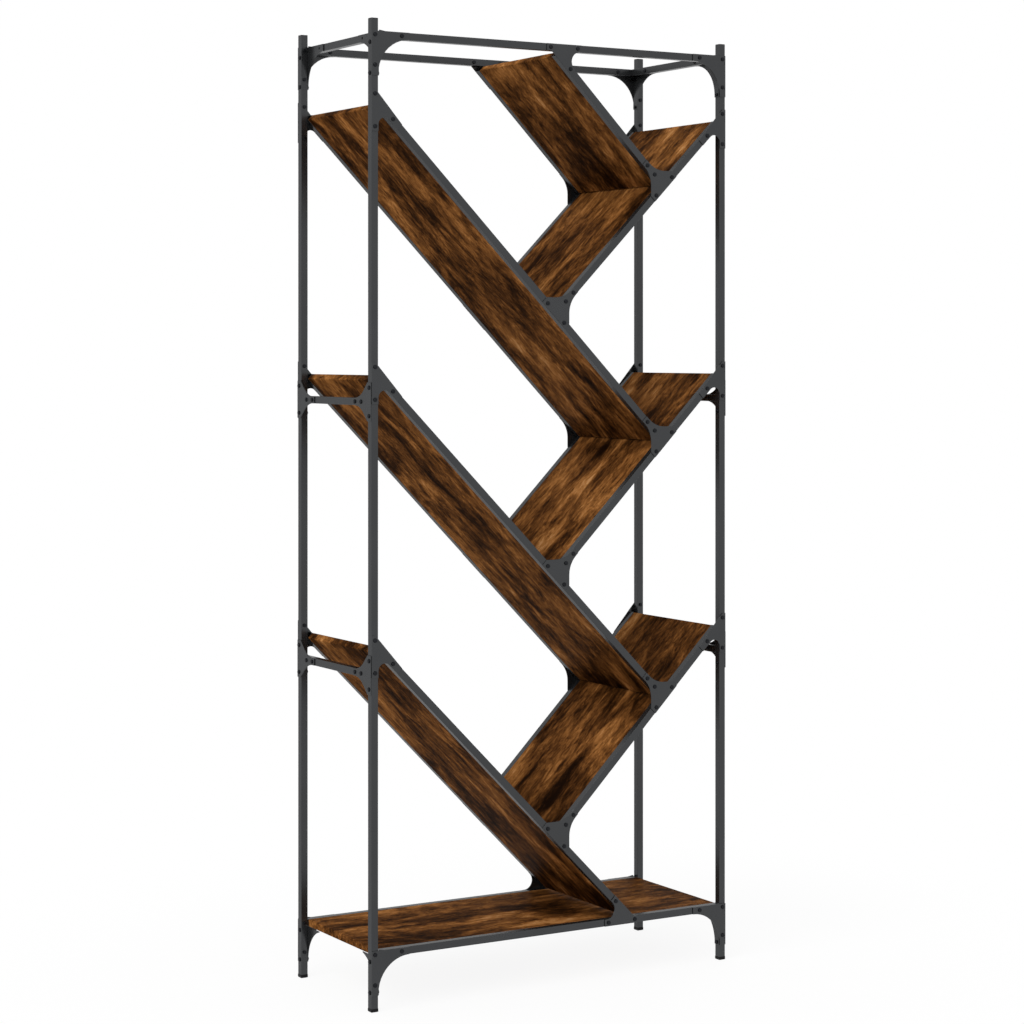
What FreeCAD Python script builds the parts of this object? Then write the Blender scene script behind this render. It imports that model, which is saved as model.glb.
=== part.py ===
import FreeCAD
import Part

import math
import os

# A free-standing shelving unit: four square steel posts, slanted rails in
# front and at the back with oak boards between them, and cut gusset plates
# bolted over every joint. The origin is on the floor under its middle, X runs
# along the width, the front faces -Y, and sizes are in millimetres.

# Overall sizes, taken over the posts.
HEIGHT = 1990.0
WIDTH = 870.0
DEPTH = 330.0

# The square tube that the whole frame is cut from.
TUBE = 15.0
TUBE_WALL = 1.2
TUBE_BEVEL = 1.5
SEAT_GAP = 0.3

# Heights of the rails. The highest slanted rail leaves its post at a drop
# below the top rail, and each side bar lies at a drop below a slanted rail.
BOTTOM_RAIL_HEIGHT = 115.2
LOWEST_TEE_HEIGHT = 308.0
POST_RISE = 25.7
TOP_TIER_DROP = 127.1
SIDE_BAR_DROP = 61.5

# Boards, which lie between the front and the back rails.
BOARD = 15.0

# Feet, and the caps that close the posts.
FOOT_HEIGHT = 7.0
FOOT_LIP = 0.6
FOOT_ROUND = 1.5
CAP_HEIGHT = 1.5
PLUG_DEPTH = 14.0
PLUG_CLEARANCE = 0.15

# Gusset plates, and the bolts and nuts that hold them.
PLATE = 2.0
BOLT_MARGIN = 9.5
HEAD_WIDTH = 9.0
HEAD_CROWN = 4.8
HEAD_HEIGHT = 2.8
NECK = 4.6
NECK_CLEARANCE = 0.1
NUT_WIDTH = 8.0
NUT_HEIGHT = 3.0
HEAD_SIDES = 6

# Tee gusset: its half span on the rail that runs through, its stem on the
# rail that butts there, and the sweep that joins them.
TEE_HALF_SPAN = 39.2
TEE_SPAN_BOLT = 28.5
TEE_STEM = 70.5
TEE_STEM_BOLT = 34.5
TEE_SWEEP = 55.0

# Corner gusset where a level rail meets a post, and the side plate like it.
CORNER_SWEEP = 70.0
CORNER_RAIL_TIP = 1.0
CORNER_POST_TIP = 4.5
CORNER_BOLT = 61.0
CORNER_PEAK = 2.2
CORNER_PEAK_START = 9.5
CORNER_PEAK_END = 24.0
SIDE_BOLT_DROP = 14.8
SIDE_BOLT_PITCH = 62.0
FOOT_PLATE_ARM = 60.0

# Diagonal gusset where a slanted rail meets a post.
DIAGONAL_TOP = 18.0
DIAGONAL_BOTTOM = 66.5
DIAGONAL_ARM = 80.0
DIAGONAL_ARM_BOLT = 57.5
DIAGONAL_ARCH = 14.5

# End gusset where a slanted rail ends on a level one.
END_ARCH = 20.0
END_TIP = 4.6
END_NEAR_ARM = 14.7

# Places that follow from the sizes above.
HALF = TUBE / 2
BOARD_HALF = BOARD / 2
ROOT_TWO = math.sqrt(2)
POST_X = WIDTH / 2 - HALF
POST_Y = DEPTH / 2 - HALF
TOP_RAIL_HEIGHT = HEIGHT - POST_RISE - HALF
LOWEST_BOLT_HEIGHT = BOTTOM_RAIL_HEIGHT - SIDE_BOLT_DROP - SIDE_BOLT_PITCH
INNER_FACE_X = POST_X - HALF
INNER_FACE_Y = POST_Y - HALF
SIDE_PLATE_X = INNER_FACE_X - PLATE
SIDE_RAIL_X = SIDE_PLATE_X - HALF

# The slanted tiers share the rise evenly. There are as few of them as leave
# room on a rising rail for the two plates at its upper end.
TIERS_RISE = TOP_RAIL_HEIGHT - TOP_TIER_DROP - POST_X - LOWEST_TEE_HEIGHT
LARGEST_PITCH = 2 * (POST_X - (TEE_HALF_SPAN + DIAGONAL_ARM + SEAT_GAP) / ROOT_TWO)
TIERS = math.ceil(TIERS_RISE / LARGEST_PITCH) + 1
TIER_PITCH = TIERS_RISE / (TIERS - 1)

X_AXIS = FreeCAD.Vector(1, 0, 0)
Y_AXIS = FreeCAD.Vector(0, 1, 0)
Z_AXIS = FreeCAD.Vector(0, 0, 1)
ORIGIN = FreeCAD.Vector(0, 0, 0)
ALL_AXES = FreeCAD.Vector(1, 1, 1)
FALLING = FreeCAD.Vector(1, 0, -1).normalize()
RISING = FreeCAD.Vector(1, 0, 1).normalize()


# Bars, tubes and boards.

def prism(corners, along):
    """The solid that a closed ring of corners sweeps along a vector."""
    face = Part.Face(Part.makePolygon(corners + corners[:1]))
    return face.extrude(along)


def tapered(low, high):
    """The solid between two level rings with as many corners, one above the other."""
    faces = [Part.Face(Part.makePolygon(ring + ring[:1])) for ring in (low, high)]
    for step in range(len(low)):
        corners = [low[step - 1], low[step], high[step], high[step - 1], low[step - 1]]
        faces.append(Part.Face(Part.makePolygon(corners)))
    return Part.makeSolid(Part.makeShell(faces))


def square_ring(centre, side, up, half, bevel=0):
    """The corners of a square in the plane of side and up, cut off by bevel."""
    corners = []
    for right, above in ((side, up), (up, -side), (-side, -up), (-up, side)):
        corners.append(centre + right * half + above * (half - bevel))
        if bevel:
            corners.append(centre + right * (half - bevel) + above * half)
    return corners


def bar(start, end, half, bevel=0):
    """A square bar between two points, with two of its faces upright in Y."""
    along = end - start
    side = X_AXIS if abs(along.y) > abs(along.x) + abs(along.z) else Y_AXIS
    up = side.cross(along).normalize()
    return prism(square_ring(start, side, up, half, bevel), along)


def tube(start, end):
    """A length of the square tube, open at both ends."""
    return bar(start, end, HALF, TUBE_BEVEL).cut(bar(start, end, HALF - TUBE_WALL))


def board(start, end):
    """A board whose middle line runs from start to end, between the rails."""
    along = end - start
    up = Y_AXIS.cross(along).normalize() * BOARD_HALF
    out = Y_AXIS * (INNER_FACE_Y - SEAT_GAP)
    return prism([start + up + out, start - up + out, start - up - out, start + up - out], along)


# Cut plates. In its own plane a plate has u to the right and w upwards, and
# its back lies on the tube.

def flat(u, w):
    """A point of a plate's own plane."""
    return FreeCAD.Vector(u, w, 0)


def arc(centre, radius, first_angle, last_angle):
    """An arc in a plate's own plane, between two angles in degrees."""
    points = []
    for angle in (first_angle, (first_angle + last_angle) / 2, last_angle):
        turn = math.radians(angle)
        points.append(centre + flat(math.cos(turn), math.sin(turn)) * radius)
    return points


def plate(pieces, bolts):
    """A plate whose edge joins points and arcs, with a square hole per bolt."""
    edges = []
    last = None
    for piece in pieces:
        points = piece if isinstance(piece, list) else [piece]
        if last is not None:
            edges.append(Part.makeLine(last, points[0]))
        if len(points) > 1:
            edges.append(Part.Arc(*points).toShape())
        last = points[-1]
    edges.append(Part.makeLine(last, pieces[0]))
    solid = Part.Face(Part.Wire(edges)).extrude(Z_AXIS * PLATE)
    for point in bolts:
        hole = square_ring(point, X_AXIS, Y_AXIS, NECK / 2 + NECK_CLEARANCE)
        solid = solid.cut(prism(hole, Z_AXIS * PLATE))
    return solid


def tee_gusset():
    """Plate for a rail that butts, to the right, on one that runs upright."""
    sweep_u = TEE_HALF_SPAN + TEE_SWEEP * (ROOT_TWO - 1)
    sweep_w = HALF + TEE_SWEEP
    bolts = [
        flat(0, TEE_SPAN_BOLT),
        flat(0, -TEE_SPAN_BOLT),
        flat(TEE_STEM_BOLT, 0),
        flat(TEE_STEM - BOLT_MARGIN, 0),
    ]
    edge = [
        flat(-HALF, TEE_HALF_SPAN),
        flat(-HALF, -TEE_HALF_SPAN),
        flat(HALF, -TEE_HALF_SPAN),
        arc(flat(sweep_u, -sweep_w), TEE_SWEEP, 135, 90),
        flat(TEE_STEM, -HALF),
        flat(TEE_STEM, HALF),
        arc(flat(sweep_u, sweep_w), TEE_SWEEP, 270, 225),
        flat(HALF, TEE_HALF_SPAN),
    ]
    return plate(edge, bolts), bolts


def corner_gusset(bolts):
    """Plate for a level rail to the right of a post, with one wide sweep."""
    inner = HALF + CORNER_SWEEP
    post_end = -inner - CORNER_POST_TIP
    rail_end = inner + CORNER_RAIL_TIP
    edge = [
        flat(-HALF, HALF),
        flat(-HALF, post_end),
        flat(HALF, post_end),
        arc(flat(inner, -inner), CORNER_SWEEP, 180, 90),
        flat(rail_end, -HALF),
        flat(rail_end, HALF),
        flat(CORNER_PEAK_END, HALF),
        flat(CORNER_PEAK_START, HALF + CORNER_PEAK),
        flat(CORNER_PEAK_START, HALF),
    ]
    return plate(edge, bolts), bolts


def foot_side_plate(bolts):
    """The part of a corner gusset that fits below the bottom board."""
    inner = HALF + CORNER_SWEEP
    top = -BOARD_HALF - SEAT_GAP
    post_end = -inner - CORNER_POST_TIP
    arm_angle = math.degrees(math.acos((FOOT_PLATE_ARM - inner) / CORNER_SWEEP))
    edge = [
        flat(-HALF, top),
        flat(-HALF, post_end),
        flat(HALF, post_end),
        arc(flat(inner, -inner), CORNER_SWEEP, 180, arm_angle),
        flat(FOOT_PLATE_ARM, top),
    ]
    return plate(edge, bolts), bolts


def diagonal_gusset():
    """Plate for a rail that falls away to the right from a post."""
    arm = DIAGONAL_ARM / ROOT_TWO
    side = HALF / ROOT_TWO
    arm_bolt = DIAGONAL_ARM_BOLT / ROOT_TWO
    arch_w = -HALF - HALF * ROOT_TWO - DIAGONAL_ARCH * (1 + ROOT_TWO)
    bolts = [
        flat(0, DIAGONAL_TOP - BOLT_MARGIN),
        flat(0, BOLT_MARGIN - DIAGONAL_BOTTOM),
        flat(arm_bolt, -arm_bolt),
    ]
    edge = [
        flat(-HALF, DIAGONAL_TOP),
        flat(-HALF, -DIAGONAL_BOTTOM),
        flat(HALF, -DIAGONAL_BOTTOM),
        arc(flat(HALF + DIAGONAL_ARCH, arch_w), DIAGONAL_ARCH, 180, 45),
        flat(arm - side, -arm - side),
        flat(arm + side, -arm + side),
        flat(HALF, DIAGONAL_TOP - HALF),
        flat(0, DIAGONAL_TOP),
    ]
    return plate(edge, bolts), bolts


def end_gusset():
    """Plate for a rail that falls away to the right from a level one."""
    arch_u = HALF + HALF * ROOT_TWO + END_ARCH * (1 + ROOT_TWO)
    far = arch_u + END_TIP
    arm = far / ROOT_TWO
    side = HALF / ROOT_TWO
    arm_bolt = (far - BOLT_MARGIN) / ROOT_TWO
    bolts = [
        flat(BOLT_MARGIN - END_NEAR_ARM, 0),
        flat(far - BOLT_MARGIN, 0),
        flat(arm_bolt, -arm_bolt),
    ]
    edge = [
        flat(-END_NEAR_ARM, HALF),
        flat(-END_NEAR_ARM, -HALF),
        flat(HALF - HALF * ROOT_TWO, -HALF),
        flat(arm - side, -arm - side),
        flat(arm + side, -arm + side),
        arc(flat(arch_u, -HALF - END_ARCH), END_ARCH, 225, 90),
        flat(far, -HALF),
        flat(far, HALF),
    ]
    return plate(edge, bolts), bolts


# Fasteners.

def head_ring(width, height):
    """The corners of a bolt head at a height, as wide as given over its flats."""
    radius = width / 2 / math.cos(math.pi / HEAD_SIDES)
    corners = []
    for step in range(HEAD_SIDES):
        turn = step * 2 * math.pi / HEAD_SIDES
        corners.append(flat(math.cos(turn), math.sin(turn)) * radius + Z_AXIS * height)
    return corners


def bolt(shank):
    """A bolt whose head stands on z = 0 and whose square shank hangs below."""
    head = tapered(head_ring(HEAD_WIDTH, 0), head_ring(HEAD_CROWN, HEAD_HEIGHT))
    return head.fuse(prism(square_ring(ORIGIN, X_AXIS, Y_AXIS, NECK / 2), Z_AXIS * -shank))


def nut():
    """A square nut that stands on z = 0."""
    return prism(square_ring(ORIGIN, X_AXIS, Y_AXIS, NUT_WIDTH / 2), Z_AXIS * NUT_HEIGHT)


# Placing and copying.

def placed(shape, spot):
    """A copy of a shape carried to a spot."""
    copy = shape.copy()
    copy.Placement = spot.multiply(copy.Placement)
    return copy


def mirrored(shapes, axis):
    """Copies of shapes on the other side of the unit's middle, across an axis."""
    return [shape.mirror(ORIGIN, axis) for shape in shapes]


def gathered(groups):
    """Several groups of named lists of shapes as one group."""
    together = {}
    for group in groups:
        for name, shapes in group.items():
            together.setdefault(name, []).extend(shapes)
    return together


def mirrored_group(group, axis):
    """A group of named lists of shapes on the other side of the middle."""
    return {name: mirrored(shapes, axis) for name, shapes in group.items()}


def on_front(point, turn):
    """The spot of a plate on the front frame, turned in its own plane."""
    facing = FreeCAD.Rotation(X_AXIS, 90).multiply(FreeCAD.Rotation(Z_AXIS, turn))
    return FreeCAD.Placement(point - Y_AXIS * (POST_Y + HALF), facing)


def facing_right(x, height):
    """The spot of a plate beside the front right post, its u towards the back."""
    return FreeCAD.Placement(FreeCAD.Vector(x, -POST_Y, height), FreeCAD.Rotation(ALL_AXES, 120))


def lifted(spot, point, lift):
    """A spot moved to a point of its plane and lifted off it."""
    return spot.multiply(FreeCAD.Placement(point + Z_AXIS * lift, FreeCAD.Rotation()))


def behind(spot, point, depth):
    """A spot turned to face backwards, at a depth below a point of its plane."""
    backwards = FreeCAD.Placement(point - Z_AXIS * depth, FreeCAD.Rotation(X_AXIS, 180))
    return spot.multiply(backwards)


# Lines of the frame, in its middle plane.

def tee(tier):
    """Where the rising rail of a tier starts on its falling rail."""
    return Z_AXIS * (LOWEST_TEE_HEIGHT + tier * TIER_PITCH)


def vertex(tier):
    """Where a falling rail from above ends on the rising rail of a tier."""
    return tee(tier) + (X_AXIS + Z_AXIS) * (TIER_PITCH / 2)


def crossing(tier):
    """Where the falling rail of a tier starts, on the middle line of the left post."""
    return tee(tier) + (Z_AXIS - X_AXIS) * POST_X


def rail_end(tier, height):
    """Where the falling line of a tier meets the level line at a height."""
    return X_AXIS * (tee(tier).z - height) + Z_AXIS * height


def corner_reach(half, half_face):
    """How far from a 45 degree crossing a square end stops, for its corner to
    clear the face of the bar that it meets."""
    return half + (half_face + SEAT_GAP) * ROOT_TWO


def falling_ends(tier, half, floor_half):
    """Ends of a falling rail or board that is half as thick as given."""
    top = crossing(tier) if tier < TIERS else rail_end(tier, TOP_RAIL_HEIGHT)
    start = top + FALLING * corner_reach(half, HALF)
    if tier:
        return start, vertex(tier - 1) - FALLING * (half + SEAT_GAP)
    return start, rail_end(tier, BOTTOM_RAIL_HEIGHT) - FALLING * corner_reach(half, floor_half)


def rising_ends(tier, half):
    """Ends of a rising rail or board that is half as thick as given."""
    end = crossing(tier) + X_AXIS * (POST_X * 2)
    return tee(tier) + RISING * (half + SEAT_GAP), end - RISING * corner_reach(half, HALF)


# Pieces of the unit.

def side_hole(middle, height):
    """A square cutter through a tube from side to side, round its middle line."""
    start = middle - X_AXIS * TUBE + Z_AXIS * height
    return bar(start, start + X_AXIS * (TUBE * 2), NECK / 2 + NECK_CLEARANCE)


def post():
    """The front right post, with holes for the bolts that cross it."""
    middle = X_AXIS * POST_X - Y_AXIS * POST_Y
    solid = tube(middle + Z_AXIS * FOOT_HEIGHT, middle + Z_AXIS * (HEIGHT - CAP_HEIGHT))
    for rail in (TOP_RAIL_HEIGHT, BOTTOM_RAIL_HEIGHT):
        solid = solid.cut(side_hole(middle, rail - SIDE_BOLT_DROP))
        solid = solid.cut(side_hole(middle, rail - SIDE_BOLT_DROP - SIDE_BOLT_PITCH))
    return solid


def plug(base, length):
    """The square plug of a foot or cap, inside the tube."""
    half = HALF - TUBE_WALL - PLUG_CLEARANCE
    return prism(square_ring(base, X_AXIS, Y_AXIS, half), Z_AXIS * length)


def foot():
    """The front right foot, with a rounded lower edge, and a plug that reaches
    half-way up to the lowest bolt across the post."""
    floor = X_AXIS * POST_X - Y_AXIS * POST_Y
    plug_length = (LOWEST_BOLT_HEIGHT - FOOT_HEIGHT) / 2
    half = HALF + FOOT_LIP
    shoulder = floor + Z_AXIS * FOOT_ROUND
    low = square_ring(floor, X_AXIS, Y_AXIS, half - FOOT_ROUND, TUBE_BEVEL)
    high = square_ring(shoulder, X_AXIS, Y_AXIS, half, TUBE_BEVEL)
    sole = tapered(low, high)
    flange = prism(high, Z_AXIS * (FOOT_HEIGHT - FOOT_ROUND))
    return sole.fuse([flange, plug(floor + Z_AXIS * FOOT_HEIGHT, plug_length)])


def post_cap():
    """The flat cap of the front right post, with a plug down the post."""
    rim = X_AXIS * POST_X - Y_AXIS * POST_Y + Z_AXIS * (HEIGHT - CAP_HEIGHT)
    lid = prism(square_ring(rim, X_AXIS, Y_AXIS, HALF, TUBE_BEVEL), Z_AXIS * CAP_HEIGHT)
    return lid.fuse(plug(rim, -PLUG_DEPTH))


def posts_feet_and_caps():
    """The three pieces of the front right post, copied to all four posts."""
    pieces = {}
    for name, shape in (("post", post()), ("foot", foot()), ("post_cap", post_cap())):
        right = [shape] + mirrored([shape], Y_AXIS)
        left = mirrored(right, X_AXIS)
        for corner, copy in zip(("front_right", "back_right", "front_left", "back_left"), right + left):
            pieces[name + "_" + corner] = [copy]
    return pieces


def in_both_frames(name, start, end):
    """A rail between two points in the front frame, and its twin at the back."""
    shift = Y_AXIS * POST_Y
    return {
        name + "_front": [tube(start - shift, end - shift)],
        name + "_back": [tube(start + shift, end + shift)],
    }


def level_rails():
    """Top rails, which stop at the side plates, and bottom rails."""
    pieces = {}
    for name, height, face in (
        ("top_rail", TOP_RAIL_HEIGHT, SIDE_PLATE_X),
        ("bottom_rail", BOTTOM_RAIL_HEIGHT, INNER_FACE_X),
    ):
        reach = X_AXIS * (face - SEAT_GAP)
        level = Z_AXIS * height
        pieces.update(in_both_frames(name, level - reach, level + reach))
    return pieces


def side_rails():
    """Rails from front to back: inside the posts at the top, between them below."""
    reach = Y_AXIS * (INNER_FACE_Y - SEAT_GAP)
    middle = X_AXIS * SIDE_RAIL_X + Z_AXIS * TOP_RAIL_HEIGHT
    top = tube(middle - reach, middle + reach)
    for y in (CORNER_BOLT - POST_Y, POST_Y - CORNER_BOLT):
        top = top.cut(side_hole(middle + Y_AXIS * y, 0))
    right = {"top_rail": top}
    for tier in range(TIERS - 1):
        middle = X_AXIS * POST_X + Z_AXIS * (crossing(tier).z - SIDE_BAR_DROP)
        right["side_bar_%d" % (tier + 1)] = tube(middle - reach, middle + reach)
    pieces = {}
    for name, shape in right.items():
        pieces[name + "_right"] = [shape]
        pieces[name + "_left"] = mirrored([shape], X_AXIS)
    return pieces


def slanted_rails_and_boards():
    """Falling and rising rails in both frames, and the board of each pair."""
    pieces = {}
    for tier in range(TIERS + 1):
        number = "_%d" % (tier + 1)
        pieces.update(in_both_frames("falling_rail" + number, *falling_ends(tier, HALF, HALF)))
        pieces["falling_board" + number] = [board(*falling_ends(tier, BOARD_HALF, BOARD_HALF))]
    for tier in range(TIERS):
        number = "_%d" % (tier + 1)
        pieces.update(in_both_frames("rising_rail" + number, *rising_ends(tier, HALF)))
        pieces["rising_board" + number] = [board(*rising_ends(tier, BOARD_HALF))]
    reach = X_AXIS * (SIDE_PLATE_X - SEAT_GAP)
    level = Z_AXIS * BOTTOM_RAIL_HEIGHT
    pieces["bottom_board"] = [board(level - reach, level + reach)]
    return pieces


# Joints: each plate with its bolts, and the nuts behind its tube.

def joint(name, made, spot, nut_points):
    """A plate on its spot, bolted, with nuts behind the tube at some points."""
    solid, points = made
    return {
        name: [placed(solid, spot)],
        "bolts": [placed(bolt(PLATE), lifted(spot, point, PLATE)) for point in points],
        "nuts": [placed(nut(), behind(spot, point, TUBE)) for point in nut_points],
    }


def middle_joints():
    """Joints of the front frame that have no mirror image in it. The bolts of
    the slanted rails and of the bottom rail go on into the boards, so no nut
    shows there."""
    tee_plate = tee_gusset()
    end_plate = end_gusset()
    top_nuts = end_plate[1][:2]
    joints = [
        joint("end_gussets", end_plate, on_front(rail_end(TIERS, TOP_RAIL_HEIGHT), 0), top_nuts),
        joint("end_gussets", end_plate, on_front(rail_end(0, BOTTOM_RAIL_HEIGHT), 180), []),
    ]
    for tier in range(TIERS):
        joints.append(joint("tee_gussets", tee_plate, on_front(tee(tier), 45), []))
        joints.append(joint("tee_gussets", tee_plate, on_front(vertex(tier), 135), []))
    return gathered(joints)


def left_joints():
    """Joints of the front frame on its left post. Where a side bar ends behind
    a bolt, the bolt goes on into it and no nut shows."""
    points = [flat(0, 0), flat(0, -CORNER_BOLT), flat(CORNER_BOLT, 0)]
    corner = corner_gusset(points)
    post_line = X_AXIS * -POST_X
    top = on_front(post_line + Z_AXIS * TOP_RAIL_HEIGHT, 0)
    bottom = on_front(post_line + Z_AXIS * BOTTOM_RAIL_HEIGHT, 0)
    joints = [
        joint("corner_gussets", corner, top, points),
        joint("corner_gussets", corner, bottom, points[:2]),
    ]
    diagonal = diagonal_gusset()
    for tier in range(TIERS):
        free = diagonal[1][:1] if tier < TIERS - 1 else diagonal[1][:2]
        joints.append(joint("diagonal_gussets", diagonal, on_front(crossing(tier), 0), free))
    return gathered(joints)


def crossing_bolts(spot, points):
    """Bolts through a post and the side plate behind it, with their nuts."""
    through = PLATE + TUBE
    return {
        "bolts": [placed(bolt(through), lifted(spot, point, through)) for point in points],
        "nuts": [placed(nut(), behind(spot, point, 0)) for point in points],
    }


def right_side_joints():
    """Joints of the right side on its front post."""
    joints = []
    tee_plate = tee_gusset()
    for tier in range(TIERS - 1):
        spot = facing_right(POST_X + HALF, crossing(tier).z - SIDE_BAR_DROP)
        joints.append(joint("side_tee_gussets", tee_plate, spot, tee_plate[1]))
    points = [flat(0, -SIDE_BOLT_DROP), flat(0, -SIDE_BOLT_DROP - SIDE_BOLT_PITCH)]
    rail_bolt = flat(CORNER_BOLT, 0)
    top = facing_right(SIDE_PLATE_X, TOP_RAIL_HEIGHT)
    bottom = facing_right(SIDE_PLATE_X, BOTTOM_RAIL_HEIGHT)
    joints.append({"side_corner_gussets": [placed(corner_gusset(points + [rail_bolt])[0], top)]})
    joints.append({"bolts": [placed(bolt(TUBE + PLATE), behind(top, rail_bolt, TUBE))]})
    joints.append({"side_foot_plates": [placed(foot_side_plate(points)[0], bottom)]})
    joints.append(crossing_bolts(top, points))
    joints.append(crossing_bolts(bottom, points))
    return gathered(joints)


def joint_nodes():
    """Every plate, bolt and nut of the unit, by the node that it goes to."""
    left = left_joints()
    front = gathered([middle_joints(), left, mirrored_group(left, X_AXIS)])
    back = mirrored_group(front, Y_AXIS)
    front_right = right_side_joints()
    right = gathered([front_right, mirrored_group(front_right, Y_AXIS)])
    sides = gathered([right, mirrored_group(right, X_AXIS)])
    nodes = {"frame_nuts": front.pop("nuts") + back.pop("nuts")}
    nodes.update({name + "_front": shapes for name, shapes in front.items()})
    nodes.update({name + "_back": shapes for name, shapes in back.items()})
    nodes["side_nuts"] = sides.pop("nuts")
    nodes["bolts_sides"] = sides.pop("bolts")
    nodes.update(sides)
    return nodes


def all_nodes():
    """The whole unit as lists of solids by node name."""
    nodes = {}
    nodes.update(posts_feet_and_caps())
    nodes.update(level_rails())
    nodes.update(side_rails())
    nodes.update(slanted_rails_and_boards())
    nodes.update(joint_nodes())
    return nodes


os.makedirs("parts", exist_ok=True)
for node, solids in all_nodes().items():
    shape = solids[0] if len(solids) == 1 else Part.makeCompound(solids)
    shape.exportStep("parts/" + node + ".step")
    print(node, len(solids), "solid" if len(solids) == 1 else "solids")
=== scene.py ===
# %% [markdown]
# A shelving unit of square steel tube and smoked oak boards.
# The real unit is about two metres high. Four posts of square tube carry level rails,
# and rails that slant at 45 degrees, in a front frame and in a back frame. Eight boards
# lie between the two frames, and flat gusset plates are bolted over every joint.
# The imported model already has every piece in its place, so this script only gives
# each piece its finished form, and the colour and gloss of its finish.

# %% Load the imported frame
import math

import bmesh
import bpy
import numpy as np
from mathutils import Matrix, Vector


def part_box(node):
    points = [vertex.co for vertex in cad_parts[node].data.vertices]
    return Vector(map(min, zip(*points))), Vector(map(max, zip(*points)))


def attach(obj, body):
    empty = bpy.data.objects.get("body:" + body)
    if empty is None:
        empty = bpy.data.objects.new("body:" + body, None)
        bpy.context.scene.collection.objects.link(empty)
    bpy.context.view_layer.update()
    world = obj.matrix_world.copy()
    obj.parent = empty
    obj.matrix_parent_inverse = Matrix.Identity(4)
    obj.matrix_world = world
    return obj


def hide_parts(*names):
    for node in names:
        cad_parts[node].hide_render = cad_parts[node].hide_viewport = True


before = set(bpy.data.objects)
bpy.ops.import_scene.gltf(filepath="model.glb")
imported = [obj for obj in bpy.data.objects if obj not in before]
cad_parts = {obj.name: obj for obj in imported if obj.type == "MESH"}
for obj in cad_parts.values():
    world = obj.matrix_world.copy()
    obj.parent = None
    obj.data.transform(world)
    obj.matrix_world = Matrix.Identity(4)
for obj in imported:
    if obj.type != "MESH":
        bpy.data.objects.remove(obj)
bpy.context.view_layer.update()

MILLIMETRE = 0.001
ROOT_TWO = math.sqrt(2)
print("packed nodes:", len(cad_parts))

# %% [markdown]
# Every new piece here is a row of rings. A ring is a closed line of points in a plane,
# written as complex numbers, because turning a complex number by a quarter is a
# product with 1j. The rings are then carried along a line in space.
# Modelling by hand would give the same shapes, but a ring is one line of numpy.

# %% Rings of points
CORNER_STEPS = 4
EDGE_SUPPORT = 0.4 * MILLIMETRE


def rounded_rectangle(half_wide, half_high, radius):
    """A rectangle with rounded corners: a quarter circle round each corner's centre,
    and a point just inside each end of every straight side, which keeps it flat."""
    arc = radius * np.exp(1j * np.linspace(0, math.pi / 2, CORNER_STEPS + 1))
    corner = np.concatenate(([arc[0] - 1j * EDGE_SUPPORT], arc, [arc[-1] - EDGE_SUPPORT]))
    across = (half_wide - radius) * np.array([1, -1, -1, 1])
    upwards = (half_high - radius) * np.array([1, 1, -1, -1])
    quarter_turns = 1j ** np.arange(4)
    return ((across + 1j * upwards)[:, None] + corner * quarter_turns[:, None]).ravel()


def circle(radius, points):
    """Points at equal steps round a circle: radius times e to the power i turn."""
    return radius * np.exp(2j * math.pi * np.arange(points) / points)


def carried(rings, depths, origin, side, up, along):
    """Rings carried along a line: origin + side * real + up * imaginary + along * depth."""
    rings = np.asarray(rings)
    flat = rings.real[..., None] * side + rings.imag[..., None] * up
    return origin + flat + np.asarray(depths)[:, None, None] * along


print("steps in every rounded corner:", CORNER_STEPS)

# %% [markdown]
# The rings become a mesh here. Neighbouring rings are joined by four-cornered faces.
# A solid piece has its first and last ring filled, and a hollow tube has its last ring
# joined back to its first. The volume under the faces tells whether they point
# outwards: a negative volume means that the mesh is inside out and has to be flipped.

# %% Rings to a mesh
SMOOTH_ANGLE = math.radians(32)


def ring_faces(rings, columns, closed):
    """Four-cornered faces between neighbouring rings, as numbers of their corners."""
    steps = rings if closed else rings - 1
    row, column = np.meshgrid(np.arange(steps), np.arange(columns), indexing="ij")
    next_row = (row + 1) % rings
    next_column = (column + 1) % columns
    corners = ((row, column), (row, next_column), (next_row, next_column), (next_row, column))
    return np.stack([r * columns + c for r, c in corners], -1).reshape(-1, 4)


def signed_volume(mesh):
    """Six times the volume inside a mesh: the sum of each triangle's triple product."""
    mesh.calc_loop_triangles()
    corners = np.empty(len(mesh.loop_triangles) * 3, np.int32)
    mesh.loop_triangles.foreach_get("vertices", corners)
    places = np.empty(len(mesh.vertices) * 3, np.float32)
    mesh.vertices.foreach_get("co", places)
    first, second, third = places.reshape(-1, 3)[corners].reshape(-1, 3, 3).transpose(1, 0, 2)
    return (first * np.cross(second, third)).sum()


def smoothed(mesh):
    """Smooth shading over gentle corners, and a crisp edge over sharp ones."""
    mesh.polygons.foreach_set("use_smooth", np.ones(len(mesh.polygons), bool))
    mesh.set_sharp_from_angle(angle=SMOOTH_ANGLE)


def mesh_of(name, places, closed=False):
    """A mesh from copies of a stack of rings, given as copies, rings, columns, 3."""
    copies, rings, columns, _ = places.shape
    starts = np.arange(copies) * rings * columns
    faces = (ring_faces(rings, columns, closed) + starts[:, None, None]).reshape(-1, 4).tolist()
    if not closed:
        rim = np.arange(columns)
        faces += (starts[:, None] + rim[::-1]).tolist()
        faces += (starts[:, None] + (rings - 1) * columns + rim).tolist()
    mesh = bpy.data.meshes.new(name)
    mesh.from_pydata(places.reshape(-1, 3).tolist(), [], faces)
    if signed_volume(mesh) < 0:
        mesh.flip_normals()
    smoothed(mesh)
    return mesh


print("edges stay crisp above", round(math.degrees(SMOOTH_ANGLE)), "degrees")
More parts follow.
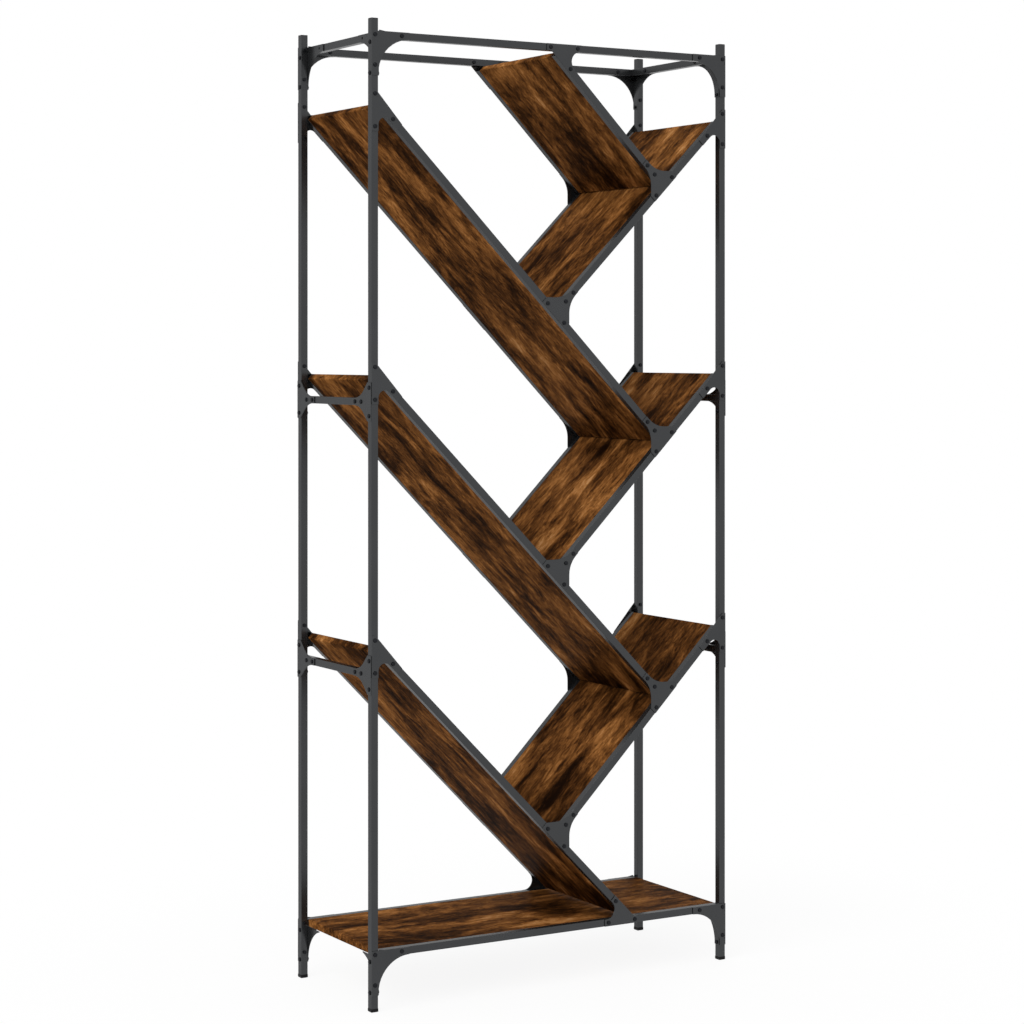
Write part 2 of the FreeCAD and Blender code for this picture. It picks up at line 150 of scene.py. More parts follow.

# %% [markdown]
# A finished piece rides on the model's only body and stands for the CAD node that it
# follows, so that node is hidden. The slot names the finish that the piece is counted under.

# %% A finished piece in the scene
counts = {}


def add_piece(name, mesh, material, slot, node):
    """Puts a mesh into the scene as the finished form of a CAD node."""
    mesh.materials.append(material)
    piece = bpy.data.objects.new(name, mesh)
    bpy.context.scene.collection.objects.link(piece)
    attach(piece, "root")
    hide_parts(node)
    counts[slot] = counts.get(slot, 0) + 1
    return piece


# %% [markdown]
# Materials are written as sums. The class below wraps one output of a node, and an
# expression such as 1 - streak adds the Math node that works it out. Anything that
# isn't plain arithmetic comes from the one method called node.

# %% Shader arithmetic
def set_stops(ramp, stops):
    """Gives a colour ramp its stops, each a place and a colour."""
    while len(ramp.elements) < len(stops):
        ramp.elements.new(1.0)
    for element, (place, colour) in zip(ramp.elements, stops):
        element.position = place
        element.color = (*colour, 1.0)


class Wire:
    """One output of a node, which can be added to, multiplied and wired on."""

    def __init__(self, tree, socket=None):
        self.tree = tree
        self.socket = socket

    def node(self, kind, settings=None, sockets=None, output=0):
        """A new node: its settings first, then a value or a wire for each socket."""
        made = self.tree.nodes.new("ShaderNode" + kind)
        for name, value in (settings or {}).items():
            if name == "stops":
                set_stops(made.color_ramp, value)
            else:
                setattr(made, name, value)
        self.feed(made, sockets or {})
        return Wire(self.tree, made.outputs[output])

    def feed(self, node, sockets):
        """Sets sockets of a node to values, or links wires to them."""
        for name, value in sockets.items():
            if isinstance(value, Wire):
                self.tree.links.new(value.socket, node.inputs[name])
            else:
                node.inputs[name].default_value = value

    def arithmetic(self, operation, first, second):
        """A Math node between two values, or a Vector Math node between two vectors."""
        if self.socket.type == "VECTOR":
            return self.node("VectorMath", {"operation": operation}, {0: first, 1: second})
        return self.node("Math", {"operation": operation}, {0: first, 1: second})

    def __add__(self, other):
        return self.arithmetic("ADD", self, other)

    def __radd__(self, other):
        return self.arithmetic("ADD", other, self)

    def __sub__(self, other):
        return self.arithmetic("SUBTRACT", self, other)

    def __rsub__(self, other):
        return self.arithmetic("SUBTRACT", other, self)

    def __mul__(self, other):
        return self.arithmetic("MULTIPLY", self, other)

    def __rmul__(self, other):
        return self.arithmetic("MULTIPLY", other, self)

    def noise(self, scale, detail, roughness=0.5, distortion=0.0, shift=None):
        """Cloudy noise over this vector, with about scale blobs to the metre. Three scales
        stretch the blobs, and a shift keeps them apart from those of other noises."""
        place = self
        if isinstance(scale, tuple):
            place = place * scale
            scale = 1
        if shift:
            place = place + shift
        sockets = {"Vector": place, "Scale": scale, "Detail": detail}
        sockets.update({"Roughness": roughness, "Distortion": distortion})
        return self.node("TexNoise", {}, sockets)

    def stepped(self, low, high):
        """0 below low, 1 above high, and a soft step between them."""
        sockets = {"Value": self, "From Min": low, "From Max": high}
        return self.node("MapRange", {"interpolation_type": "SMOOTHSTEP"}, sockets)

    def bump(self, depth):
        """A normal that shows this height, in metres, at full strength."""
        return self.node("Bump", {}, {"Height": self, "Distance": depth})


def new_material(name):
    """A new material, a wire to add its nodes with, and its main shader."""
    material = bpy.data.materials.new(name)
    material.use_nodes = True
    return material, Wire(material.node_tree), material.node_tree.nodes["Principled BSDF"]


# %% [markdown]
# The tubes and plates have a dark metallic powder coat. Almost all of the grey that it
# shows is the white room that its smooth skin reflects, so a face goes black wherever it
# looks at another dark face. Powder melts into faint pebbles, like fine orange peel, so
# fine noise bumps the skin a little, and broad and fine noise together vary its gloss.

# %% Powder coated steel
STEEL_GREY = (0.0565, 0.0583, 0.0605)
STEEL_WORN_GREY = (0.0510, 0.0527, 0.0550)
STEEL_STOPS = ((0.3, STEEL_WORN_GREY), (0.7, STEEL_GREY))
STEEL_METALLIC = 0.8
STEEL_EDGE_TINT = (0.6, 0.6, 0.6, 1.0)
STEEL_ROUGHNESS = 0.20
STEEL_ROUGHNESS_RISE = 0.06
PATCHES = {"scale": 9, "detail": 3}
PEBBLES = {"scale": 1400, "detail": 2, "roughness": 0.6}
PEBBLE_DEPTH = 0.006 * MILLIMETRE


def powder_coated_steel():
    """Dark metallic powder coat with a smooth, finely pebbled skin."""
    material, wire, shader = new_material("powder_coated_steel")
    place = wire.node("TexCoord", output="Object")
    patch = place.noise(**PATCHES)
    pebble = place.noise(**PEBBLES)
    wire.feed(shader, {
        "Base Color": patch.node("ValToRGB", {"stops": STEEL_STOPS}, {0: patch}),
        "Metallic": STEEL_METALLIC,
        "Specular Tint": STEEL_EDGE_TINT,
        "Roughness": STEEL_ROUGHNESS + (patch + pebble) * STEEL_ROUGHNESS_RISE,
        "Normal": pebble.bump(PEBBLE_DEPTH),
    })
    return material


steel = powder_coated_steel()
print("made", steel.name)

# %% [markdown]
# The boards are faced with a printed smoked oak: patches of brown and tan, smoky dark
# blotches with soft edges, short wavy streaks, burnt flecks and here and there a knot.
# The pattern runs along each board, so it reads an attribute with the place in the board
# itself: along, across and through. Stretching that place turns round noise into streaks,
# and a bend added to it first lets the streaks wander.

# %% Smoked oak
GRAIN_NAME = "grain_place"
OAK_STOPS = (
    (0.00, (0.0080, 0.0028, 0.0009)),
    (0.22, (0.0300, 0.0108, 0.0028)),
    (0.40, (0.0810, 0.0300, 0.0076)),
    (0.52, (0.1340, 0.0512, 0.0130)),
    (0.68, (0.2340, 0.0930, 0.0242)),
    (0.84, (0.3550, 0.1530, 0.0445)),
    (1.00, (0.4800, 0.2450, 0.0950)),
)
BEND_SCALE = (12.0, 22.0, 22.0)
BEND_REACH = (0.05, 0.014, 0.014)
NOISE_MIDDLE = (0.5, 0.5, 0.5)
KNOT_SCALE = (3.3, 9.0, 0.0)
KNOT_STEP = (0.02, 0.30)
KNOT_KEPT_STEP = (0.55, 0.60)
KNOT_PUSH = 0.02


def knots(place):
    """1 in the middle of a knot and 0 away from it, with most of the knots left out."""
    sockets = {"Vector": place * KNOT_SCALE, "Scale": 1.0}
    distance = place.node("TexVoronoi", {}, sockets, output="Distance")
    chance = place.node("TexVoronoi", {}, sockets, output="Color")
    kept = chance.node("SeparateColor", {}, {0: chance}, output="Red").stepped(*KNOT_KEPT_STEP)
    return (1 - distance.stepped(*KNOT_STEP)) * kept


def swayed_place(place, knot):
    """The place in the board, swayed by slow noise and pushed aside round each knot."""
    sockets = {"Vector": place * BEND_SCALE, "Scale": 1.0}
    bend = place.node("TexNoise", {}, sockets, output="Color")
    sway = bend.node("VectorMath", {"operation": "SUBTRACT"}, {0: bend, 1: NOISE_MIDDLE})
    around = knot * KNOT_PUSH
    push = place.node("CombineXYZ", {}, {"Y": around, "Z": around})
    return place + sway * BEND_REACH + push


print("tones of the print:", len(OAK_STOPS))

# %% [markdown]
# The tone of the print is a sum of layers. Each layer is noise with its own three scales,
# along, across and through the board, and its own weight in the sum. Tan, smoke and burn
# only count where their noise is high, so they make separate patches and flecks. The sum
# picks a colour from the stops above.

# %% The layers of the print
CLOUD = {"scale": (5.0, 13.0, 13.0), "detail": 6, "roughness": 0.62, "distortion": 0.7}
MOTTLE = {"scale": (30.0, 66.0, 66.0), "detail": 4, "roughness": 0.65, "distortion": 0.5}
STREAK = {"scale": (30.0, 150.0, 150.0), "detail": 3, "roughness": 0.6}
FIBRE = {"scale": (130.0, 420.0, 420.0), "detail": 3, "roughness": 0.6}
TAN = {"scale": (5.0, 16.0, 16.0), "detail": 5, "roughness": 0.6, "distortion": 0.4}
SMOKE = {"scale": (8.0, 22.0, 22.0), "detail": 5, "roughness": 0.6, "distortion": 0.6}
BURN = {"scale": (48.0, 200.0, 200.0), "detail": 3, "roughness": 0.55}
TAN_SHIFT = (7.0, 3.0, 5.0)
SMOKE_SHIFT = (4.0, 9.0, 2.0)
BURN_SHIFT = (1.0, 6.0, 8.0)
TAN_STEP = (0.50, 0.66)
SMOKE_STEP = (0.48, 0.62)
BURN_STEP = (0.58, 0.68)
CLOUD_WEIGHT = 1.75
MOTTLE_WEIGHT = 0.80
STREAK_WEIGHT = 0.45
FIBRE_WEIGHT = 0.52
TAN_WEIGHT = 0.18
SMOKE_WEIGHT = 0.17
BURN_WEIGHT = 0.18
KNOT_WEIGHT = 0.30
TONE_DROP = 1.300


def print_tone(swayed, streak, fibre, knot):
    """The tone of the print: the weighted light layers less the weighted dark ones."""
    cloud = swayed.noise(**CLOUD)
    mottle = swayed.noise(**MOTTLE)
    tan = swayed.noise(**TAN, shift=TAN_SHIFT).stepped(*TAN_STEP)
    smoke = swayed.noise(**SMOKE, shift=SMOKE_SHIFT).stepped(*SMOKE_STEP)
    burn = swayed.noise(**BURN, shift=BURN_SHIFT).stepped(*BURN_STEP)
    broad = cloud * CLOUD_WEIGHT + mottle * MOTTLE_WEIGHT
    light = broad + streak * STREAK_WEIGHT + fibre * FIBRE_WEIGHT + tan * TAN_WEIGHT
    return light - TONE_DROP - smoke * SMOKE_WEIGHT - burn * BURN_WEIGHT - knot * KNOT_WEIGHT


print("the largest patches are about", round(1 / CLOUD["scale"][0], 1), "m long")

# %% [markdown]
# The rest of the oak's shader is short. Fine open pores are darker than the wood round
# them and lie a little deeper, and the fibres stand up a little, so both go into a Bump
# node. A faced board is matt, so it hardly reflects.

# %% The oak's shader
PORE = {"scale": (42.0, 900.0, 900.0), "detail": 2}
PORE_STEP = (0.60, 0.72)
PORE_DEPTH = 0.06 * MILLIMETRE
PORE_TINT = (0.40, 0.32, 0.27, 1.0)
PORE_STRENGTH = 0.3
FIBRE_HEIGHT_SHARE = 0.5
OAK_ROUGHNESS = 0.52
OAK_ROUGHNESS_RISE = 0.14
OAK_REFLECTION = 0.004
MIX_FIRST_COLOUR = 6
MIX_SECOND_COLOUR = 7
MIX_COLOUR_OUTPUT = 2


def multiplied(first, second, factor):
    """Two colours multiplied, as far as the factor says. A Mix node has a pair of inputs
    for each kind of value, so its colours are found by their numbers."""
    settings = {"data_type": "RGBA", "blend_type": "MULTIPLY"}
    sockets = {"Factor": factor, MIX_FIRST_COLOUR: first, MIX_SECOND_COLOUR: second}
    return first.node("Mix", settings, sockets, output=MIX_COLOUR_OUTPUT)


def smoked_oak():
    """Printed oak: clouds, mottling and streaks, tan patches, smoke, burns and knots."""
    material, wire, shader = new_material("smoked_oak")
    place = wire.node("Attribute", {"attribute_name": GRAIN_NAME}, output="Vector")
    knot = knots(place)
    swayed = swayed_place(place, knot)
    streak = swayed.noise(**STREAK)
    fibre = swayed.noise(**FIBRE)
    tone = print_tone(swayed, streak, fibre, knot)
    colour = tone.node("ValToRGB", {"stops": OAK_STOPS}, {0: tone})
    pore = swayed.noise(**PORE).stepped(*PORE_STEP)
    wire.feed(shader, {
        "Base Color": multiplied(colour, PORE_TINT, pore * PORE_STRENGTH),
        "Roughness": OAK_ROUGHNESS + streak * OAK_ROUGHNESS_RISE,
        "Specular IOR Level": OAK_REFLECTION,
        "Normal": (fibre * FIBRE_HEIGHT_SHARE - pore).bump(PORE_DEPTH),
    })
    return material


oak = smoked_oak()
print("made", oak.name, "with", len(oak.node_tree.nodes), "nodes")

# %% [markdown]
# Feet and post caps are moulded in black plastic with a fine matt texture, darker than
# the steel above them. The bolts and nuts are black coated steel, darker than the powder
# coat, so that each domed head stands out on its plate as a small dark dot.

# %% Black plastic and black bolts
PLASTIC_BLACK = (0.006, 0.006, 0.0065, 1.0)
PLASTIC_ROUGHNESS = 0.5
PLASTIC_ROUGHNESS_RISE = 0.2
PLASTIC_REFLECTION = 0.14
SPARKS = {"scale": 2300, "detail": 2}
BOLT_STOPS = ((0.3, (0.0120, 0.0125, 0.0145)), (0.75, (0.0200, 0.0210, 0.0240)))
BOLT_ROUGHNESS = 0.22
BOLT_ROUGHNESS_RISE = 0.2
BOLT_PATCHES = {"scale": 160, "detail": 3}
TUMBLED = {"scale": 900, "detail": 2}
FINE_DEPTH = 0.02 * MILLIMETRE


def moulded_plastic():
    """Black plastic with a fine sparked texture from its mould."""
    material, wire, shader = new_material("black_plastic")
    spark = wire.node("TexCoord", output="Object").noise(**SPARKS)
    wire.feed(shader, {
        "Base Color": PLASTIC_BLACK,
        "Specular IOR Level": PLASTIC_REFLECTION,
        "Roughness": PLASTIC_ROUGHNESS + spark * PLASTIC_ROUGHNESS_RISE,
        "Normal": spark.bump(FINE_DEPTH),
    })
    return material


def black_coated_steel():
    """Thin black coat over metal, a little uneven where it was tumbled."""
    material, wire, shader = new_material("black_bolt")
    place = wire.node("TexCoord", output="Object")
    patch = place.noise(**BOLT_PATCHES)
    wire.feed(shader, {
        "Base Color": patch.node("ValToRGB", {"stops": BOLT_STOPS}, {0: patch}),
        "Metallic": STEEL_METALLIC,
        "Specular Tint": STEEL_EDGE_TINT,
        "Roughness": BOLT_ROUGHNESS + patch * BOLT_ROUGHNESS_RISE,
        "Normal": place.noise(**TUMBLED).bump(FINE_DEPTH),
    })
    return material


plastic = moulded_plastic()
bolt_black = black_coated_steel()
print("made", plastic.name, "and", bolt_black.name)

# %% [markdown]
# A straight piece is found again from the box of its CAD node. A box gives the ends of
# a level or upright piece at once. A piece at 45 degrees reaches as far along X as its
# length and its thickness together, both shortened by the root of two. Every slanted
# line starts at its upper end.

# %% Where a straight piece lies
AXES = np.eye(3)
FALLING = np.array([1, 0, -1]) / ROOT_TWO
RISING = np.array([-1, 0, -1]) / ROOT_TWO
TUBE = 15 * MILLIMETRE
TUBE_WALL = 1.2 * MILLIMETRE
TUBE_RADIUS = 0.5 * MILLIMETRE
TUBE_INNER_RADIUS = 0.3 * MILLIMETRE
BOARD = 15 * MILLIMETRE
BOARD_EASE = 1.0 * MILLIMETRE
LANDING_GAP = 3.2 * MILLIMETRE


def line_of(node, thickness):
    """Start, direction and length of a straight CAD node's middle line."""
    low, high = (np.array(corner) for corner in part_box(node))
    span = high - low
    if node.startswith(("falling", "rising")):
        along = FALLING if node.startswith("falling") else RISING
        length = span[0] * ROOT_TWO - thickness
    else:
        along = AXES[span.argmax()]
        length = span.max()
    return (low + high) / 2 - along * length / 2, along, length


def sides_of(along):
    """Two directions square to a line: across it, and up from it."""
    across = AXES[0] if along[1] else AXES[1]
    return across, np.cross(across, along)


post_length = line_of("post_front_left", TUBE)[-1]
print("a post is", round(post_length, 3), "m long")

# %% [markdown]
# The posts and rails are cold rolled square tube with a small radius on each edge,
# which catches a thin line of light. The CAD tube has a flat bevel there, so each tube
# is made again: its outer ring goes out along the line and its inner ring comes back,
# and the four rings close into a hollow tube with real walls at its ends.

# %% Tubes
def tube_mesh(node):
    """A hollow tube: the outer ring at both ends, then the inner ring at both ends."""
    start, along, length = line_of(node, TUBE)
    across, up = sides_of(along)
    outer = rounded_rectangle(TUBE / 2, TUBE / 2, TUBE_RADIUS)
    inner = rounded_rectangle(TUBE / 2 - TUBE_WALL, TUBE / 2 - TUBE_WALL, TUBE_INNER_RADIUS)
    rings = (outer, outer, inner, inner)
    places = carried(rings, (0, length, length, 0), start, across, up, along)
    return mesh_of(node, places[None], closed=True)


def is_tube(node):
    """Posts, rails and side bars are tubes. A post's cap isn't."""
    if node.startswith("post_"):
        return not node.startswith("post_cap")
    return "_rail_" in node or "side_bar" in node


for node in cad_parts:
    if is_tube(node):
        add_piece("rounded_" + node, tube_mesh(node), steel, "grey_steel", node)
print("tubes:", counts["grey_steel"])

# %% [markdown]
# A board is a slab of faced particle board, its long edges hidden against the rails and
# its ends closed by edge banding that is eased with a file. Its rings shrink a little at
# both ends to make that eased edge. A slanted board ends a little above the board that it
# stands on, and the gap shows as a dark line. Each point also stores its place in the
# board, shifted by a different amount for every board, so no two show the same print.

# %% Boards
EASE_STEPS = 3
EASE_START_SHARE = 0.15
PRINT_SHIFT = np.array([3.7, 2.3, 1.1])


def eased_rings(half_wide, half_high, radius, length):
    """Rings of a bar with rounded ends: the inset falls as the sine of the turn and the
    depth grows as the cosine, and the far end repeats the near one backwards."""
    turns = np.linspace(EASE_START_SHARE, 1, EASE_STEPS) * math.pi / 2
    insets = radius * (1 - np.sin(turns))
    depths = radius * (1 - np.cos(turns))
    rings = [rounded_rectangle(half_wide - i, half_high - i, radius) for i in insets]
    return rings + rings[::-1], np.concatenate((depths, length - depths[::-1]))


def board_mesh(node, number):
    """A board with eased edges that stores the place of each point in the board."""
    start, along, length = line_of(node, BOARD)
    low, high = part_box(node)
    across, up = sides_of(along)
    if node != "bottom_board":
        length = length - LANDING_GAP
    rings, depths = eased_rings((high.y - low.y) / 2, BOARD / 2, BOARD_EASE, length)
    mesh = mesh_of(node, carried(rings, depths, start, across, up, along)[None])
    own = carried(rings, depths, PRINT_SHIFT * number, AXES[1], AXES[2], AXES[0])
    grain = mesh.attributes.new(GRAIN_NAME, "FLOAT_VECTOR", "POINT")
    grain.data.foreach_set("vector", own.ravel().astype(np.float32))
    return mesh


board_nodes = [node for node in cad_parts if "board" in node]
for number, node in enumerate(sorted(board_nodes)):
    add_piece("oak_" + node, board_mesh(node, number + 1), oak, "oak_board", node)
print("boards:", counts["oak_board"])

# %% [markdown]
# The feet are plastic plugs with a rounded sole, and a flat cap closes each post. Both
# are rounded squares whose size changes with the height, so a list of heights and
# insets says the whole shape.

# %% Feet and caps
MOULDED_RADIUS = 1.0 * MILLIMETRE


def stacked_mesh(node, low_z, heights, insets, half):
    """A rounded square carried upwards, drawn in by an inset at each height."""
    low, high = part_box(node)
    middle = np.array([(low.x + high.x) / 2, (low.y + high.y) / 2, low_z])
    rings = [rounded_rectangle(half - i, half - i, MOULDED_RADIUS) for i in insets]
    return mesh_of(node, carried(rings, heights, middle, AXES[0], AXES[1], AXES[2])[None])


FOOT_HEIGHTS = np.array([0, 0.35, 0.9, 1.6, 6.4, 6.85, 7.0]) * MILLIMETRE
FOOT_INSETS = np.array([1.6, 0.75, 0.25, 0, 0, 0.15, 0.5]) * MILLIMETRE
CAP_HEIGHTS = np.array([0, 1.0, 1.35, 1.5]) * MILLIMETRE
CAP_INSETS = np.array([0, 0, 0.15, 0.55]) * MILLIMETRE
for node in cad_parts:
    low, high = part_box(node)
    if node.startswith("foot_"):
        half = (high.x - low.x) / 2
        mesh = stacked_mesh(node, low.z, FOOT_HEIGHTS, FOOT_INSETS, half)
        add_piece("moulded_" + node, mesh, plastic, "black_plastic", node)
    elif node.startswith("post_cap"):
        mesh = stacked_mesh(node, high.z - CAP_HEIGHTS[-1], CAP_HEIGHTS, CAP_INSETS, TUBE / 2)
        add_piece("moulded_" + node, mesh, plastic, "black_plastic", node)
print("feet and caps:", counts["black_plastic"])

# %% [markdown]
# A node of bolts holds dozens of separate solids. To set a domed head on each one, the
# solids are told apart first: corners at the same place count as one, and every face
# hands the lowest label among its corners to all of them, until nothing changes.

# %% The separate solids of a node
PLACE_DIGITS = 6


def solids_of(node):
    """The corner points of each separate solid of a CAD node, as a list of arrays."""
    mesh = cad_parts[node].data
    places = np.empty(len(mesh.vertices) * 3, np.float32)
    mesh.vertices.foreach_get("co", places)
    corners = np.empty(len(mesh.loops), np.int32)
    mesh.loops.foreach_get("vertex_index", corners)
    rounded = places.reshape(-1, 3).round(PLACE_DIGITS)
    points, shared = np.unique(rounded, axis=0, return_inverse=True)
    faces = shared.ravel()[corners].reshape(-1, 3)
    labels = np.arange(len(points))
    settled = False
    while not settled:
        lower = labels.copy()
        np.minimum.at(lower, faces, labels[faces].min(1)[:, None])
        settled = bool((lower == labels).all())
        labels = lower
    return [points[labels == label] for label in np.unique(labels)]


print("solids in bolts_front:", len(solids_of("bolts_front")))

# %% [markdown]
# The bolts are flat round-headed bolts: a low dome with a short upright rim. The dome
# is a circle that shrinks as it rises. A dome is repeated more than a hundred times, so
# it has only a few rings, and smooth shading does the rest.

# %% Domed bolt heads
HEAD_HEIGHT = 2.8 * MILLIMETRE
HEAD_RADIUS = 4.5 * MILLIMETRE
HEAD_POINTS = 12
RIM_SHARE = 0.98
HEAD_RADIUS_SHARES = np.array([0.97, 1.0, 0.93, 0.72, 0.36])
HEAD_HEIGHT_SHARES = np.array([0.0, 0.22, 0.60, 0.87, 0.99])


def head_frame(points, axis):
    """The middle of a head's underside, and the direction in which the head looks."""
    middle = (points.min(0) + points.max(0)) / 2
    offset = points - middle
    offset[:, axis] = 0
    reach = np.linalg.norm(offset, axis=1)
    seat = points[reach > reach.max() * RIM_SHARE, axis].mean()
    ends = np.array([points[:, axis].min(), points[:, axis].max()])
    crown = ends[np.abs(np.abs(ends - seat) - HEAD_HEIGHT).argmin()]
    middle[axis] = seat
    return middle, AXES[axis] * np.sign(crown - seat)


def heads_mesh(node, axis):
    """A dome on every bolt of a node: a circle whose height grows and whose radius
    shrinks by the two lists of shares."""
    rings = HEAD_RADIUS * HEAD_RADIUS_SHARES[:, None] * circle(1, HEAD_POINTS)
    depths = HEAD_HEIGHT * HEAD_HEIGHT_SHARES
    stacks = []
    for points in solids_of(node):
        seat, outwards = head_frame(points, axis)
        across = AXES[2]
        up = np.cross(outwards, across)
        stacks.append(carried(rings, depths, seat, across, up, outwards))
    return mesh_of(node, np.array(stacks))


for node, axis in (("bolts_front", 1), ("bolts_back", 1), ("bolts_sides", 0)):
    add_piece("domed_" + node, heads_mesh(node, axis), bolt_black, "black_bolt", node)
print("bolt pieces:", counts["black_bolt"])

# %% [markdown]
# Where a bolt passes right through a tube, a small six-sided nut closes it behind. The
# shortest side of the CAD nut is the bolt's direction, and a slightly smaller ring at
# the top and bottom of the nut makes the chamfer of its corners.

# %% Nuts
NUT_POINTS = 6
NUT_RING_SHARES = np.array([0.90, 1.0, 1.0, 0.90])
NUT_DEPTH_SHARES = np.array([0.0, 0.14, 0.86, 1.0])


def nuts_mesh(node):
    """A six-sided nut in the place of every square one of a node: a circle of six points
    that is carried up the bolt, with its radius and its depth by the lists of shares."""
    stacks = []
    for points in solids_of(node):
        low, high = points.min(0), points.max(0)
        axis = (high - low).argmin()
        base = (low + high) / 2
        base[axis] = low[axis]
        across = AXES[(axis + 1) % 3]
        up = AXES[(axis + 2) % 3]
        width = (high - low).max()
        rings = width / 2 * NUT_RING_SHARES[:, None] * circle(1, NUT_POINTS)
        depths = NUT_DEPTH_SHARES * (high - low)[axis]
        stacks.append(carried(rings, depths, base, across, up, AXES[axis]))
    return mesh_of(node, np.array(stacks))


for node in ("frame_nuts", "side_nuts"):
    add_piece("six_sided_" + node, nuts_mesh(node), bolt_black, "black_bolt", node)
print("bolt and nut pieces:", counts["black_bolt"])

# %% [markdown]
# The gusset plates are cut from sheet, so their outline is the CAD outline. Only their
# edges differ: the real ones are rounded and coated, so they show no hard corner. A
# narrow Bevel modifier rounds them here. It needs a clean mesh, so it works on a copy
# of the plate with its doubles merged and its flat faces joined.

# %% Gusset plates
PLATE_EDGE = 0.70 * MILLIMETRE
PLATE_EDGE_SEGMENTS = 2
PLATE_EDGE_ANGLE = math.radians(40)
WELD = 0.002 * MILLIMETRE
FLAT_ANGLE = math.radians(1)


def plate_mesh(node):
    """A merged copy of a plate's mesh, with flat areas joined into single faces."""
    copy = bmesh.new()
    copy.from_mesh(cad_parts[node].data)
    bmesh.ops.remove_doubles(copy, verts=copy.verts, dist=WELD)
    bmesh.ops.dissolve_limit(
        copy, angle_limit=FLAT_ANGLE, verts=copy.verts, edges=copy.edges)
    mesh = bpy.data.meshes.new(node)
    copy.to_mesh(mesh)
    copy.free()
    smoothed(mesh)
    return mesh


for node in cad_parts:
    if "gussets" in node or "foot_plates" in node:
        plate = add_piece("eased_" + node, plate_mesh(node), steel, "grey_steel", node)
        ease = plate.modifiers.new("eased edges", "BEVEL")
        ease.width = PLATE_EDGE
        ease.segments = PLATE_EDGE_SEGMENTS
        ease.limit_method = "ANGLE"
        ease.angle_limit = PLATE_EDGE_ANGLE
        ease.harden_normals = True
print("steel pieces:", counts["grey_steel"])

# %% [markdown]
# The photograph has a plain white ground. The world is white for rays that reach the
# camera or that a glossy surface sends out, and gives an even, weaker light to
# everything else. The floor does the same, but keeps part of its real shading round
# the unit, so the feet stand in a soft shadow that fades out to white.

# %% White ground and floor
WHITE = (1.0, 1.0, 1.0, 1.0)
SHOWN_RAYS = ("Is Camera Ray", "Is Glossy Ray", "Is Transmission Ray")
AMBIENT = 0.68
FLOOR_SIZE = 30.0
FLOOR_GREY = 0.95
FLOOR_ROUGHNESS = 0.9
SHADOW_SHARE = 0.10
FADE_START = 0.7
FADE_END = 1.6


def shown_directly(wire):
    """1 for rays from the camera, from gloss or through glass, and 0 for the others."""
    path = wire.tree.nodes.new("ShaderNodeLightPath").outputs
    seen, glossy, through = (Wire(wire.tree, path[name]) for name in SHOWN_RAYS)
    return (seen + glossy + through).stepped(0, 1)


def make_world():
    """White where it is seen, and an even light where it only shines."""
    world = bpy.data.worlds.new("white_studio")
    bpy.context.scene.world = world
    world.use_nodes = True
    wire = Wire(world.node_tree)
    strength = AMBIENT + shown_directly(wire) * (1 - AMBIENT)
    wire.feed(world.node_tree.nodes["Background"], {"Color": WHITE, "Strength": strength})


def floor_material():
    """Matt white that glows to plain white away from the unit."""
    material, wire, shader = new_material("studio_floor")
    place = wire.node("TexCoord", output="Object")
    distance = place.node("VectorMath", {"operation": "LENGTH"}, {0: place}, output="Value")
    away = distance.stepped(FADE_START, FADE_END)
    shown = shown_directly(wire)
    glow = wire.node("Emission", {}, {"Color": WHITE, "Strength": 1.0})
    wire.feed(shader, {
        "Base Color": (FLOOR_GREY, FLOOR_GREY, FLOOR_GREY, 1.0),
        "Roughness": FLOOR_ROUGHNESS,
        "Specular IOR Level": 0.0,
    })
    factor = shown * (1 - SHADOW_SHARE * (1 - away))
    matt = Wire(wire.tree, shader.outputs[0])
    mixed = wire.node("MixShader", {}, {0: factor, 1: matt, 2: glow})
    wire.feed(wire.tree.nodes["Material Output"], {"Surface": mixed})
    return material


def make_floor():
    """One large square under the feet."""
    reach = FLOOR_SIZE / 2
    mesh = bpy.data.meshes.new("studio_floor")
    corners = [(-reach, -reach, 0), (reach, -reach, 0), (reach, reach, 0), (-reach, reach, 0)]
    mesh.from_pydata(corners, [], [(0, 1, 2, 3)])
    mesh.materials.append(floor_material())
    floor = bpy.data.objects.new("studio_floor", mesh)
    bpy.context.scene.collection.objects.link(floor)


make_world()
make_floor()
print("even light:", AMBIENT, "and the floor's shadow:", SHADOW_SHARE)

# %% [markdown]
# One broad lamp stands on the left, a little in front, as the brighter upper faces of
# the rising boards show. A sun lamp has the same strength everywhere, and a wide angle
# makes its shadows soft.

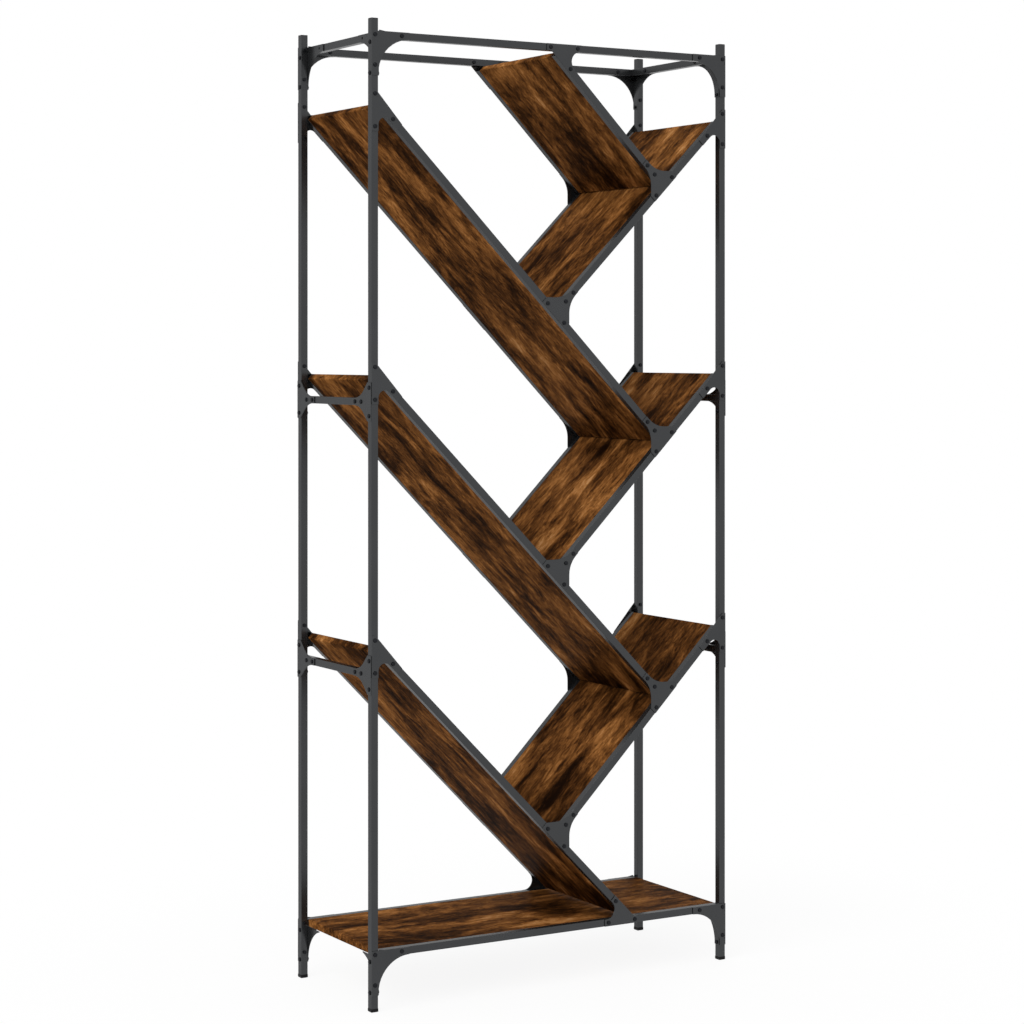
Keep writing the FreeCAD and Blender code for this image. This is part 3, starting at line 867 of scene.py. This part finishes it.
# %% Lamp
LAMP_STRENGTH = 1.9
LAMP_ANGLE = math.radians(50)
TO_LAMP = (-0.72, -0.35, 0.62)


def make_lamp():
    """A soft sun that shines down from the left, a little in front."""
    lamp = bpy.data.lights.new("key_lamp", "SUN")
    lamp.energy = LAMP_STRENGTH
    lamp.angle = LAMP_ANGLE
    placed = bpy.data.objects.new("key_lamp", lamp)
    bpy.context.scene.collection.objects.link(placed)
    placed.rotation_euler = Vector(TO_LAMP).to_track_quat("Z", "Y").to_euler()


make_lamp()
print("lamp strength:", LAMP_STRENGTH)

# %% [markdown]
# The camera stands to the left of the front, at two thirds of the unit's height. It looks
# level, so that upright posts stay upright in the picture. Its place and its focal length
# were worked out from the posts' edges in the photograph. The point straight ahead of it
# lies left of the picture's middle and above it, which is what the two shifts say.

# %% Camera
PICTURE_PIXELS = 1024
SENSOR_WIDTH = 36.0
CAMERA_PLACE = (-2.757, -4.532, 1.3235)
CAMERA_TURN = math.radians(-30.05)
FOCAL_PIXELS = 2473.0
AHEAD_PIXELS = (460.0, 350.8)


def make_camera():
    """The photograph's camera: level, turned to the right, and shifted."""
    camera = bpy.data.cameras.new("photo_camera")
    camera.sensor_width = SENSOR_WIDTH
    camera.lens = FOCAL_PIXELS * SENSOR_WIDTH / PICTURE_PIXELS
    middle = PICTURE_PIXELS / 2
    camera.shift_x = (middle - AHEAD_PIXELS[0]) / PICTURE_PIXELS
    camera.shift_y = (AHEAD_PIXELS[1] - middle) / PICTURE_PIXELS
    placed = bpy.data.objects.new("photo_camera", camera)
    placed.location = CAMERA_PLACE
    placed.rotation_euler = (math.pi / 2, 0, CAMERA_TURN)
    bpy.context.scene.collection.objects.link(placed)
    bpy.context.scene.camera = placed
    return camera


camera = make_camera()
bpy.context.scene.view_settings.view_transform = "Standard"
print("lens:", round(camera.lens, 2), "mm")

# %% [markdown]
# The finished pieces are counted by their finish.

# %% Pieces by finish, and the end
print("pieces by finish:", counts)
